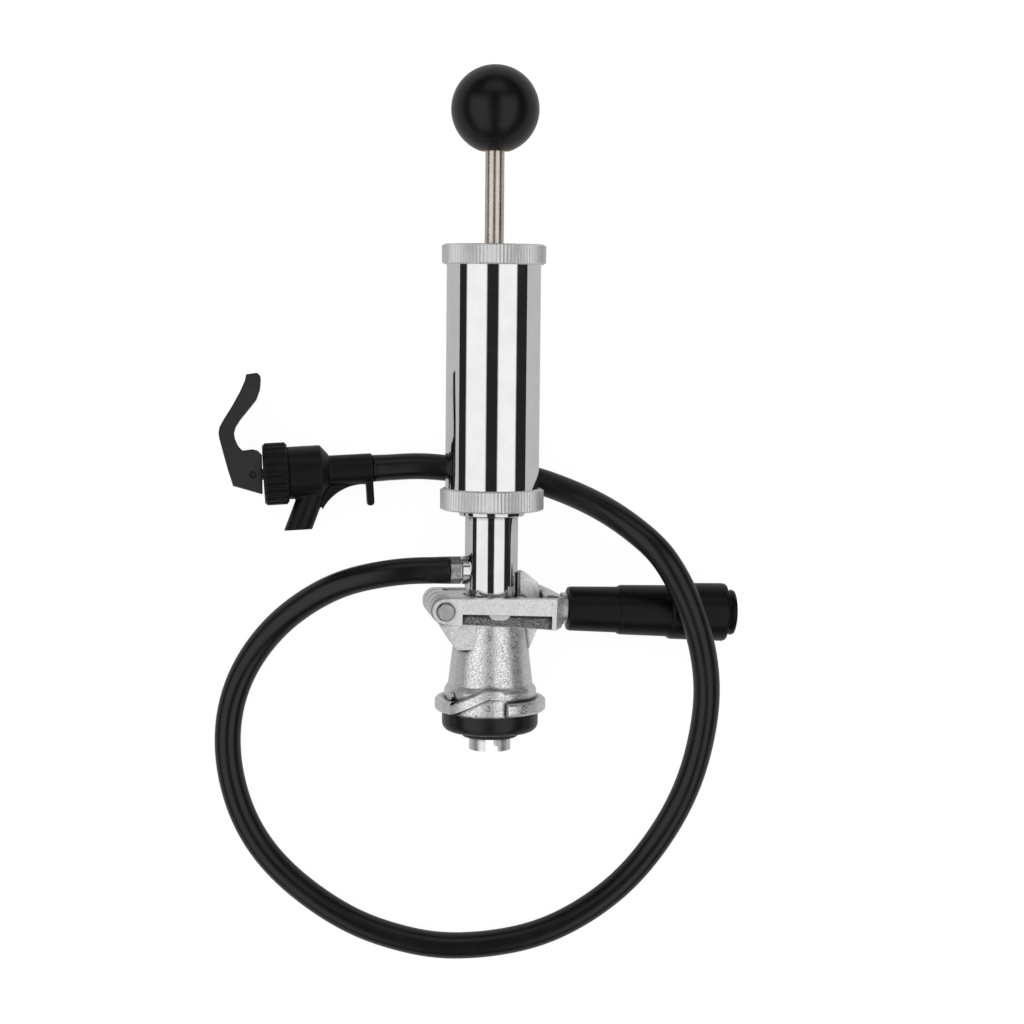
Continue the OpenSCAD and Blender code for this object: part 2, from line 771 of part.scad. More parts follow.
module stem_tube() {
    color("gainsboro") on_table() difference() {
        union() {
            rod_up(stem_r, stem_foot, stem_top);
            rod_up(spigot_r, stem_top, barrel_z);
            translate([0, 0, outlet_h]) along_x(boss_d / 2, -boss_out, -stem_bore / 2);
        }
        rod_up(stem_bore / 2, stem_foot - cut, stem_top - cap_wall);
        rod_up(air_r, stem_foot, barrel_z + cut);
        translate([0, 0, outlet_h]) along_x(nipple_r + seat, -boss_out - cut, 0);
        translate([0, 0, drive_h]) rotate([90, 0, 0])
            cylinder(d = trunnion_d + 2 * seat, h = 2 * stem_d, center = true);
        for (h = o_ring_heights) tube(stem_r + cut, body_bore_r - run - 2 * o_ring_r - seat,
            h - ring_groove_w / 2, h + ring_groove_w / 2);
    }
}

module stem_o_rings() {
    color([0.07, 0.07, 0.07]) on_table() for (h = o_ring_heights) translate([0, 0, h]) rotate_extrude()
        translate([body_bore_r - run - o_ring_r, 0]) circle(r = o_ring_r, $fn = 24);
}

module trunnion_pins() {
    color("gray") on_table() for (side = [0, 180]) rotate([0, 0, side]) translate([0, 0, drive_h])
        rotate([90, 0, 0]) rod_up(trunnion_d / 2, stem_bore / 2 + rest, arm_in + slot_depth - rest);
}

module probe_tip() {
    color("silver") on_table() difference() {
        union() {
            rod_up(tip_d / 2, -tip_reach, 0);
            rod_up(tip_flange_r, -seal_h, stem_foot);
            rod_up(stem_bore / 2 - run, stem_foot, stem_foot + tip_spigot_l);
        }
        rod_up(beer_tube_d / 2 + seat, beer_foot, stem_foot + tip_spigot_l + cut);
        rod_up(ball_seat_r, -tip_reach - cut, beer_foot + cut);
        difference() {
            rod_up(tip_d, -tip_reach - cut, -prong_root);
            intersection() {
                tube(tip_d / 2 + cut, prong_in_r, -tip_reach - 2 * cut, 0);
                for (side = [0, 180]) rotate([0, 0, side])
                    translate([prong_gap, -tip_d, -tip_reach - 2 * cut]) cube([tip_d, 2 * tip_d, tip_reach]);
            }
        }
        for (a = [45 : 90 : 315]) rotate([0, 0, a]) translate([air_ring, 0, 0])
            rod_up(air_hole_r, -prong_root - cut, stem_foot + tip_spigot_l + cut);
    }
}

module probe_seal() {
    color([0.07, 0.07, 0.07]) on_table() rotate_extrude() polygon([[tip_d / 2 + seat, -seal_h],
        [tip_seal_d / 2, -seal_h], [tip_seal_d / 2, -seal_h - tip_seal_t + edge],
        [tip_seal_d / 2 - edge, -seal_h - tip_seal_t], [tip_d / 2 + seat, -seal_h - tip_seal_t]]);
}

module beer_tube() {
    color("silver") on_table() difference() {
        union() {
            rod_up(beer_tube_d / 2, beer_foot, beer_head_z);
            rod_up(beer_head_r, beer_head_z, beer_head_z + beer_head_h);
        }
        rod_up(beer_bore / 2, beer_foot + ball_seat_h, beer_head_z + beer_head_h - beer_head_wall);
        rod_up(ball_seat_r, beer_foot - cut, beer_foot + ball_seat_h + cut);
        translate([0, 0, outlet_h]) along_x(nipple_r + seat, -beer_head_r - cut, -nipple_in);
        translate([0, 0, outlet_h]) along_x(nipple_bore_r, -nipple_in - cut, 0);
        for (a = [45 : 90 : 315]) rotate([0, 0, a]) translate([air_ring, 0, 0])
            rod_up(air_hole_r, beer_head_z - cut, beer_head_z + beer_head_h + cut);
        translate([0, 0, stop_h]) rotate([90, 0, 0])
            cylinder(r = ball_pin_r + seat, h = beer_tube_d + cut, center = true);
    }
}

module check_stop_pin() {
    color("gray") on_table() translate([0, 0, stop_h]) rotate([90, 0, 0])
        cylinder(r = ball_pin_r, h = beer_tube_d - rest, center = true);
}

module beer_check_ball() {
    color("silver") on_table() translate([0, 0, ball_z]) sphere(d = ball_d);
}

module outlet_fitting() {
    color("gainsboro") on_table() translate([0, 0, outlet_h]) difference() {
        union() {
            along_x(nipple_r, -boss_out, -nipple_in);
            along_x(groove_r, -hex_in, -boss_out);
            translate([-outlet_out, 0, 0]) rotate([0, 90, 0]) cylinder(d = hex_d, h = hex_l, $fn = 6);
        }
        along_x(nipple_bore_r, -outlet_out - cut, 0);
    }
}

// Barrel

module stem_flange() {
    color("gainsboro") on_table() rotate_extrude() polygon([[spigot_r + seat, stem_top],
        [flange_d / 2 - edge / 2, stem_top], [flange_d / 2, stem_top + edge / 2], [flange_d / 2, ring_z],
        [spigot_r + seat, ring_z]]);
}

module lower_collar() {
    color("lightgray") on_table() translate([0, 0, ring_z]) difference() {
        knurled(ring_h);
        rod_up(spigot_r + seat, -cut, ring_h);
        rod_up(barrel_r + seat, ring_floor, ring_h + cut);
    }
}

module base_gasket() {
    color([0.07, 0.07, 0.07]) on_table() tube(barrel_r - seat, spigot_r + seat, ring_in, barrel_z);
}

module barrel_base() {
    color("silver") on_table() difference() {
        rod_up(barrel_in - seat, barrel_z, block_top);
        rod_up(disc_d / 2 + disc_pocket, barrel_z - cut, barrel_z + disc_lift + disc_t + 2 * rest);
        rod_up(air_r, barrel_z, block_top + cut);
    }
}

module foot_valve_disc() {
    color([0.07, 0.07, 0.07]) on_table() rod_up(disc_d / 2, barrel_z + disc_lift + rest,
        barrel_z + disc_lift + rest + disc_t);
}

module barrel_tube() {
    color("gainsboro") on_table() tube(barrel_r, barrel_in, barrel_z, cap_in);
}

module top_cap() {
    color("lightgray") on_table() translate([0, 0, cap_z]) difference() {
        knurled(cap_h);
        rod_up(barrel_r + seat, -cut, cap_h - cap_top);
        rod_up(bushing_r + seat, -cut, cap_h + cut);
        translate([vent_ring, 0, 0]) rod_up(vent_r, 0, cap_h + cut);
    }
}

module rod_bushing() {
    color("goldenrod") on_table() difference() {
        union() {
            rod_up(bushing_flange_r, cap_in - bushing_t, cap_in);
            rod_up(bushing_r, cap_in, cap_end);
        }
        rod_up(rod_r + run, cap_in - bushing_t - cut, cap_end + cut);
    }
}

// Piston and rod

module piston_cup() {
    color([0.1, 0.1, 0.1]) on_table() rotate_extrude() polygon([[rod_r + run, cup_z], [cup_r - edge, cup_z],
        [cup_r, cup_z + edge], [cup_r, cup_z + cup_h], [cup_r - 2 * edge, cup_z + cup_h],
        [plate_r + rest, cup_z + cup_h - 2 * edge], [plate_r + rest, cup_z + cup_h],
        [rod_r + run, cup_z + cup_h]]);
}

module pump_rod() {
    color("silver") on_table() rod_up(rod_r, lower_z - nut_t - rest, insert_z + insert_depth - thread_end);
}

module knob() {
    color([0.05, 0.05, 0.05]) on_table() difference() {
        translate([0, 0, knob_z]) sphere(r = knob_r, $fn = 96);
        rod_up(insert_d / 2 + seat, insert_z - 3 * cut, insert_z + insert_depth);
    }
}

module knob_insert() {
    color("goldenrod") on_table() difference() {
        rod_up(insert_d / 2, insert_z, insert_z + insert_depth - seat);
        rod_up(rod_r + seat, insert_z - cut, insert_z + insert_depth - thread_end + seat);
    }
}

module piston_plate_upper() {
    color("silver") on_table() tube(plate_r, rod_r + seat, upper_z, upper_z + plate_t);
}

module piston_plate_lower() {
    color("silver") on_table() tube(plate_r, rod_r + seat, lower_z, lower_z + plate_t);
}

module piston_nut() {
    color("gray") on_table() difference() {
        translate([0, 0, lower_z - nut_t]) cylinder(d = nut_d, h = nut_t, $fn = 6);
        rod_up(rod_r + seat, lower_z - nut_t - cut, lower_z + cut);
    }
}

module rod_bumper() {
    color([0.07, 0.07, 0.07]) on_table()
        tube(bumper_r, rod_r + seat, upper_z + plate_t, upper_z + plate_t + bumper_t);
}

// Tap

module spout_solid(r) {
    translate([spout_x, spout_top, 0]) rotate([0, 0, -spout_lean]) rotate([90, 0, 0])
        translate([0, 0, spout_top]) cylinder(r = r, h = 2 * spout_drop);
}

module hook_outline() {
    translate([hook_x - hook_t / 2, -hook_drop + hook_t / 2]) square([hook_t, hook_drop - hook_t / 2]);
    translate([hook_x, -hook_drop + hook_t / 2]) circle(d = hook_t);
}

module web_outline() {
    difference() {
        polygon([[spout_x, 0], [spout_x + spout_d * web_shares[0], -tap_r - 2 * hook_t],
            [spout_x + spout_d * web_shares[1], -tap_r - hook_t], [hook_x, -tail_r + edge], [hook_x, 0]]);
        translate([hook_x - hook_t, -tail_r - web_r]) circle(r = web_r);
    }
}

module faucet_body() {
    color([0.09, 0.09, 0.09]) on_tap() difference() {
        union() {
            along_x(tap_neck_r, bonnet_top + tap_seal_t, tap_z);
            along_x(tap_r, tap_z, shoulder_z);
            translate([shoulder_z, 0, 0]) rotate([0, 90, 0])
                cylinder(r1 = tap_r, r2 = tail_r + edge, h = shoulder_l);
            along_x(tail_r, shoulder_z, tail_end);
            intersection() {
                spout_solid(spout_d / 2);
                translate([0, -spout_drop, -tap_r]) cube([hook_x, spout_drop + spout_root, tap_d]);
            }
            tap_plate(hook_t) web_outline();
            tap_plate(hook_w) hook_outline();
        }
        along_x(chamber_d / 2, 0, chamber_end);
        along_x(tail_bore / 2, 0, tail_end + cut);
        difference() {
            spout_solid(spout_bore / 2);
            translate([0, bore_root, -tap_d]) cube([2 * hook_x, tap_d, 2 * tap_d]);
        }
    }
}

module faucet_collar() {
    color([0.09, 0.09, 0.09]) on_tap() difference() {
        union() {
            along_x(bonnet_r - edge, 0, bonnet_l);
            translate([edge, 0, 0]) rotate([0, 90, 0]) linear_extrude(height = bonnet_l - 2 * edge)
                polygon([for (i = [0 : 4 * bonnet_ribs - 1]) let(a = 90 * i / bonnet_ribs,
                    r = (i % 4 < 2) ? bonnet_r : bonnet_r - edge) [r * cos(a), r * sin(a)]]);
        }
        along_x(valve_r + 2 * run, -cut, bonnet_l);
        along_x(tap_neck_r + seat, bonnet_top, bonnet_l + cut);
    }
}

module faucet_gasket() {
    color([0.2, 0.2, 0.2]) on_tap() difference() {
        along_x(tap_neck_r - seat, bonnet_top, bonnet_top + tap_seal_t);
        along_x(chamber_d / 2 - edge, 0, bonnet_l);
    }
}

module faucet_spring() {
    color("gray") on_tap() difference() {
        along_x(spring_r, bonnet_top, bonnet_top + spring_l);
        along_x(spring_in, 0, bonnet_l * 2);
    }
}

module valve_stem() {
    color("whitesmoke") on_tap() difference() {
        union() {
            along_x(valve_r, thumb_pin_x - valve_r, valve_seal_z - valve_flange_t);
            along_x(valve_flange_r, valve_seal_z - valve_flange_t, valve_seal_z);
            along_x(valve_tip_r, valve_seal_z, valve_seal_z + valve_seal_t);
        }
        translate([thumb_pin_x, 0, 0]) cylinder(d = thumb_pin_d + 2 * seat, h = 4 * valve_d, center = true);
    }
}

module valve_seal() {
    color([0.15, 0.15, 0.15]) on_tap() difference() {
        along_x(valve_seal_r, valve_seal_z, valve_seal_z + valve_seal_t);
        along_x(valve_tip_r + seat, 0, tail_end);
    }
}

module lever_pin() {
    color("gray") on_tap() translate([thumb_pin_x, 0, 0])
        cylinder(d = thumb_pin_d, h = thumb_pin_l, center = true);
}

module faucet_lever() {
    color([0.09, 0.09, 0.09]) on_tap() translate([thumb_pin_x, 0, 0]) difference() {
        tap_plate(thumb_w) polygon(scaled(thumb_shares, thumb_l));
        cube([4 * valve_d, 2 * valve_d, 2 * thumb_slot], center = true);
        cylinder(d = thumb_pin_d + 2 * run, h = thumb_w + cut, center = true);
    }
}

// Hose, as one tube swept along its route

function unit(v) = v / norm(v);
function heading(points, i) = i == 0 ? unit(points[1] - points[0])
    : i == len(points) - 1 ? unit(points[i] - points[i - 1])
    : unit(unit(points[i + 1] - points[i]) + unit(points[i] - points[i - 1]));
function ring_side(t) = unit(cross([0, 0, 1], t));
function hose_ring(points, i) =
    let(t = heading(points, i), side = ring_side(t), up = cross(t, side))
    [for (k = [0 : hose_sides - 1]) let(a = 360 * (k + 0.5) / hose_sides)
        points[i] + hose_r / cos(180 / hose_sides) * (side * cos(a) + up * sin(a))];

module hose() {
    rings = len(hose_points);
    corners = [for (i = [0 : rings - 1]) each hose_ring(hose_points, i)];
    sides = [for (i = [0 : rings - 2], k = [0 : hose_sides - 1])
        let(a = i * hose_sides + k, b = i * hose_sides + (k + 1) % hose_sides)
        [a, a + hose_sides, b + hose_sides, b]];
    first = [for (k = [0 : hose_sides - 1]) k];
    last = [for (k = [hose_sides - 1 : -1 : 0]) (rings - 1) * hose_sides + k];
    color([0.05, 0.05, 0.05]) polyhedron(points = corners, faces = concat(sides, [first, last]));
}

coupler_body();
bottom_seal();
hinge_pin();
hinge_washers();
index_stud();
yoke();
handle_shank();
grip_washer();
grip_sleeve();
grip_end_cap();
latch_plunger();
latch_spring();
stem_tube();
stem_o_rings();
trunnion_pins();
probe_tip();
probe_seal();
beer_tube();
check_stop_pin();
outlet_fitting();
stem_flange();
lower_collar();
base_gasket();
barrel_base();
barrel_tube();
top_cap();
rod_bushing();
foot_valve_disc();
beer_check_ball();
piston_cup();
pump_rod();
knob();
knob_insert();
piston_plate_upper();
piston_plate_lower();
piston_nut();
rod_bumper();
faucet_body();
faucet_collar();
faucet_gasket();
faucet_spring();
valve_stem();
valve_seal();
lever_pin();
faucet_lever();
hose();
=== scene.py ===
"""Looks of a keg party pump that lies on a white table: finishes, hose, springs, studio and camera."""
from __future__ import annotations

import json
import logging
import math
from dataclasses import dataclass, field
from enum import Enum
from typing import Any, Callable, Sequence

import bmesh
import bpy
from mathutils import Matrix, Vector

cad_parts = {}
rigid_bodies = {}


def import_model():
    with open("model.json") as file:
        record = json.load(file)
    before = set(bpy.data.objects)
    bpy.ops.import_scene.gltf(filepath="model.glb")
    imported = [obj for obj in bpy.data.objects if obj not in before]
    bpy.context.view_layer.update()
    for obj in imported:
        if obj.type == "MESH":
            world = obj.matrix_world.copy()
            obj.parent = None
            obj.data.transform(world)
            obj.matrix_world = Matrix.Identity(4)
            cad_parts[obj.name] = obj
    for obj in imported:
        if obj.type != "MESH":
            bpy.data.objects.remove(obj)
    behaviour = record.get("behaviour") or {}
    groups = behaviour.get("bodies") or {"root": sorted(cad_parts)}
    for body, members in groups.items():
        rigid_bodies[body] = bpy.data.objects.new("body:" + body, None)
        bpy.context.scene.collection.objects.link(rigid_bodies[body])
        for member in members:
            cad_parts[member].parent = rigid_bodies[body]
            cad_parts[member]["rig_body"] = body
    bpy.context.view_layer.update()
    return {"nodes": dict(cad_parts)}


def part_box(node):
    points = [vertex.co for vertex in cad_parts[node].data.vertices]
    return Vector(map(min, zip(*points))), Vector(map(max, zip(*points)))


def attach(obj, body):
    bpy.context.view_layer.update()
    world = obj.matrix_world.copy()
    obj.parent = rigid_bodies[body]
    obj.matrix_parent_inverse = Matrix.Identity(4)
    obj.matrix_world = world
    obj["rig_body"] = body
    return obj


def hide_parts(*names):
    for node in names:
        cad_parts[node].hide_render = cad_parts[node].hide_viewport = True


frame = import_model()

logging.basicConfig(level=logging.INFO, format="%(message)s")
log = logging.getLogger("pump")

MM = 0.001
Point = tuple[float, float, float]


# Places


@dataclass(frozen=True)
class Placing:
    """A frame that a sub-assembly is measured in, laid on the table."""

    origin: Vector
    along: Vector
    side: Vector
    up: Vector

    def at(self, p: Sequence[float]) -> Vector:
        """Point of the frame, given in millimetres.

        Args:
            p: Distances along the frame's three directions.

        Returns:
            The point on the table, in metres.
        """
        return (self.origin + self.along * p[0] + self.side * p[1] + self.up * p[2]) * MM


def lying_pump(tilt_deg: float = 5, roll_deg: float = 8.08, x: float = 6.84, y: float = -135.16) -> Placing:
    """The upright pump's frame, rolled and laid down.

    Args:
        tilt_deg: How far the knob's end is lifted.
        roll_deg: How far the pump rolls towards its grip.
        x: Place of the coupler's foot across the table.
        y: Place of the coupler's foot along the table.

    Returns:
        The frame, with its third direction from foot to knob.
    """
    t, r = math.radians(tilt_deg), math.radians(roll_deg)
    turn = Matrix.Rotation(t - math.pi / 2, 3, "X") @ Matrix.Rotation(r, 3, "Z")
    height = 25 * math.cos(t) - 9.1 * math.sin(t)
    return Placing(Vector((x, y, height)), turn.col[0].copy(), turn.col[1].copy(), turn.col[2].copy())


def lying_tap(dip_deg: float = 6.5, turn_deg: float = 3.9, x: float = -97.46, y: float = -28.96) -> Placing:
    """The tap's frame, from its bonnet's face towards the hose.

    Args:
        dip_deg: How far the tail dips.
        turn_deg: How far the tap is turned on the table.
        x: Place of the bonnet's face across the table.
        y: Place of the bonnet's face along the table.

    Returns:
        The frame, with its first direction towards the hose.
    """
    d, t = math.radians(dip_deg), math.radians(turn_deg)
    turn = Matrix.Rotation(t, 3, "Z") @ Matrix.Rotation(d, 3, "Y")
    height = 14.2 * math.cos(d) + 11.1 * math.sin(d)
    return Placing(Vector((x, y, height)), turn.col[0].copy(), turn.col[1].copy(), turn.col[2].copy())


def hung_lever(pump: Placing, sag_deg: float = 1.8, hinge: Point = (-23, 0, 48.4)) -> Placing:
    """The lever's frame, which hangs a little below square from its hinge.

    Args:
        pump: The pump's frame.
        sag_deg: How far it hangs.
        hinge: Place of the hinge pin in the pump's frame.

    Returns:
        The frame, with the same origin as the pump's when the sag is nought.
    """
    turn = Matrix.Rotation(math.radians(sag_deg), 3, pump.side)
    pin = pump.at(hinge) / MM
    return Placing(pin + turn @ (pump.origin - pin), turn @ pump.along, pump.side, turn @ pump.up)


PUMP = lying_pump()
LEVER = hung_lever(PUMP)
TAP = lying_tap()

# The sunk panel of each lever arm in the lever's frame: its depth, length, upper end and the shade there
POCKET_SIDE, POCKET_FAR = (20, 22.4), (-15.6, 24.6)
POCKET_TOP, POCKET_SHADE = (47.0, 47.6), (45.6, 47.2)
# How far the painted light and shade along an edge reaches in from it, and the closeness at which it starts
# and is full
PAINTED_RIM_MM, PAINTED_RIM_STEP = 0.6, (0.16, 0.5)
# Depth of metal grain and of moulded grain, in metres
METAL_DEPTH, MOULD_DEPTH = 0.0002, 0.00015
# A spring's closed turns at each end, the share of its length that they take, and points in a turn
CLOSED_TURNS, CLOSED_SHARE, TURN_POINTS = 0.8, 0.02, 28


# Shader expressions


class Flow:
    """A socket's value in an expression: each operator adds the node that works it out."""

    def __init__(self, tree: bpy.types.NodeTree, socket: bpy.types.NodeSocket) -> None:
        """Wraps an output socket of a tree."""
        self.tree, self.socket = tree, socket

    def _join(self, target: bpy.types.NodeSocket, value: Any) -> None:
        """Links or sets one input.

        Args:
            target: The input socket.
            value: A Flow, a number or a tuple.
        """
        if isinstance(value, Flow):
            self.tree.links.new(value.socket, target)
        else:
            target.default_value = value

    def _number(self, operation: str, a: Any, b: Any) -> "Flow":
        """A Math node on two numbers.

        Args:
            operation: The node's operation.
            a: First value.
            b: Second value.

        Returns:
            Its result.
        """
        n = self.tree.nodes.new("ShaderNodeMath")
        n.operation = operation
        self._join(n.inputs[0], a)
        self._join(n.inputs[1], b)
        return Flow(self.tree, n.outputs[0])

    def _vector(self, operation: str, a: Any, b: Any) -> "Flow":
        """A Vector Math node, with a plain number spread over its three parts.

        Args:
            operation: The node's operation.
            a: First value.
            b: Second value.

        Returns:
            Its result.
        """
        n = self.tree.nodes.new("ShaderNodeVectorMath")
        n.operation = operation
        for target, value in zip(n.inputs, (a, b)):
            self._join(target, (value,) * 3 if isinstance(value, (int, float)) else value)
        return Flow(self.tree, n.outputs[0])

    def _colour(self, operation: str, a: Any, b: Any) -> "Flow":
        """A Mix node on two colours.

        Args:
            operation: The way they are mixed.
            a: First colour.
            b: Second colour, or a number for a grey.

        Returns:
            Its result.
        """
        n = self.tree.nodes.new("ShaderNodeMix")
        n.data_type, n.blend_type = "RGBA", operation
        n.inputs[0].default_value = 1.0
        for target, value in zip((n.inputs[6], n.inputs[7]), (a, b)):
            self._join(target, (value,) * 3 + (1.0,) if isinstance(value, (int, float)) else value)
        return Flow(self.tree, n.outputs[2])

    def _do(self, operation: str, other: Any, swap: bool = False) -> "Flow":
        """Chooses the node by what the value is.

        Args:
            operation: ADD, SUBTRACT, MULTIPLY or DIVIDE.
            other: The other value.
            swap: Whether the other value comes first.

        Returns:
            The result.
        """
        a, b = (other, self) if swap else (self, other)
        kind = self.socket.type
        if kind == "RGBA":
            return self._colour(operation, a, b)
        return self._vector(operation, a, b) if kind == "VECTOR" else self._number(operation, a, b)

    def __add__(self, other: Any) -> "Flow":
        """Sum."""
        return self._do("ADD", other)

    def __radd__(self, other: Any) -> "Flow":
        """Sum with this value second."""
        return self._do("ADD", other, True)

    def __sub__(self, other: Any) -> "Flow":
        """Difference."""
        return self._do("SUBTRACT", other)

    def __rsub__(self, other: Any) -> "Flow":
        """Difference with this value second."""
        return self._do("SUBTRACT", other, True)

    def __mul__(self, other: Any) -> "Flow":
        """Product."""
        return self._do("MULTIPLY", other)

    def __rmul__(self, other: Any) -> "Flow":
        """Product with this value second."""
        return self._do("MULTIPLY", other, True)

    def at_least(self, other: Any) -> "Flow":
        """The larger of two numbers."""
        return self._number("MAXIMUM", self, other)

    def step(self, low: float, high: float) -> "Flow":
        """A smooth step from 0 to 1.

        Args:
            low: Value at which it starts.
            high: Value at which it ends.

        Returns:
            The step.
        """
        n = self.tree.nodes.new("ShaderNodeMapRange")
        n.interpolation_type = "SMOOTHSTEP"
        self._join(n.inputs[0], self)
        n.inputs[1].default_value, n.inputs[2].default_value = low, high
        return Flow(self.tree, n.outputs[0])

    def between(self, low: float, high: float, soft: float) -> "Flow":
        """One inside a range and nought outside it, with soft ends.

        Args:
            low: Start of the range.
            high: End of the range.
            soft: Width of the ends.

        Returns:
            The mask.
        """
        return self.step(low - soft, low + soft) * (1 - self.step(high - soft, high + soft))


class Painter:
    """Adds nodes to one tree."""

    def __init__(self, tree: bpy.types.NodeTree) -> None:
        """Starts with an empty tree."""
        self.tree = tree
        tree.nodes.clear()

    def node(self, kind: str, settings: dict[str, Any] | None = None,
             sockets: dict[Any, Any] | None = None, out: int | str = 0) -> Flow:
        """Adds any node.

        Args:
            kind: Type of the node.
            settings: What it is set to first; stops are a ramp's places and colours.
            sockets: Values or links of its inputs.
            out: Which output is wanted.

        Returns:
            That output.
        """
        n = self.tree.nodes.new(kind)
        for name, value in (settings or {}).items():
            if name == "stops":
                ramp = n.color_ramp.elements
                for i, (place, colour) in enumerate(value):
                    stop = ramp[i] if i < len(ramp) else ramp.new(place)
                    stop.position, stop.color = place, (*colour, 1.0)
            else:
                setattr(n, name, value)
        for name, value in (sockets or {}).items():
            if isinstance(value, Flow):
                self.tree.links.new(value.socket, n.inputs[name])
            else:
                n.inputs[name].default_value = value
        return Flow(self.tree, n.outputs[out])

    def noise(self, grain_mm: float, detail: float = 3, rough: float = 0.55,
              stretch: Point = (1, 1, 1)) -> Flow:
        """Noise fixed to the piece.

        Args:
            grain_mm: Size of its features.
            detail: Its finer layers.
            rough: Weight of the finer layers.
            stretch: Scale along the table's three directions.

        Returns:
            A number about 0.5.
        """
        place = self.node("ShaderNodeTexCoord", out="Object")
        scaled = self.node("ShaderNodeMapping", {"vector_type": "POINT"},
                           {"Vector": place, "Scale": stretch})
        return self.node("ShaderNodeTexNoise", {"noise_dimensions": "3D"},
                         {"Vector": scaled, "Scale": 1 / (grain_mm * MM), "Detail": detail,
                          "Roughness": rough})

    def hollow(self, reach_mm: float, inside: bool = False) -> Flow:
        """How closed in a point is.

        Args:
            reach_mm: How far it looks.
            inside: Looks into the piece instead, which finds its outer edges.

        Returns:
            Nought in the open and up to one in a corner, or at an edge.
        """
        open_ = self.node("ShaderNodeAmbientOcclusion",
                          {"samples": 6, "inside": inside, "only_local": inside},
                          {"Distance": reach_mm * MM}, "AO")
        return 1 - open_

    def along(self, place: Placing, way: Vector) -> Flow:
        """Distance of a point from a frame's origin along one direction, in millimetres.

        Args:
            place: The frame.
            way: The direction.

        Returns:
            The distance.
        """
        point = self.node("ShaderNodeTexCoord", out="Object")
        dot = self.node("ShaderNodeVectorMath", {"operation": "DOT_PRODUCT"}, {0: point, 1: tuple(way)},
                        "Value")
        return dot * (1 / MM) - place.origin.dot(way)

    def mix(self, mask: Flow, a: Any, b: Any) -> Flow:
        """Blends two colours.

        Args:
            mask: Share of the second.
            a: First colour.
            b: Second colour.

        Returns:
            The blend.
        """
        return self.node("ShaderNodeMix", {"data_type": "RGBA"}, {0: mask, 6: a, 7: b}, 2)


def grey(v: float, warm: float = 0.0) -> tuple[float, float, float, float]:
    """A grey colour, made warmer or cooler.

    Args:
        v: Its value.
        warm: Shift from blue towards red.

    Returns:
        The colour.
    """
    return (v * (1 + warm), v, v * (1 - warm), 1.0)


# Finishes


class Grain(Enum):
    """How a surface's fine marks run."""

    EVEN = (1.0, 1.0, 1.0)
    LENGTHWISE = (1.0, 0.04, 1.0)
    ROUND = (0.08, 1.0, 0.08)


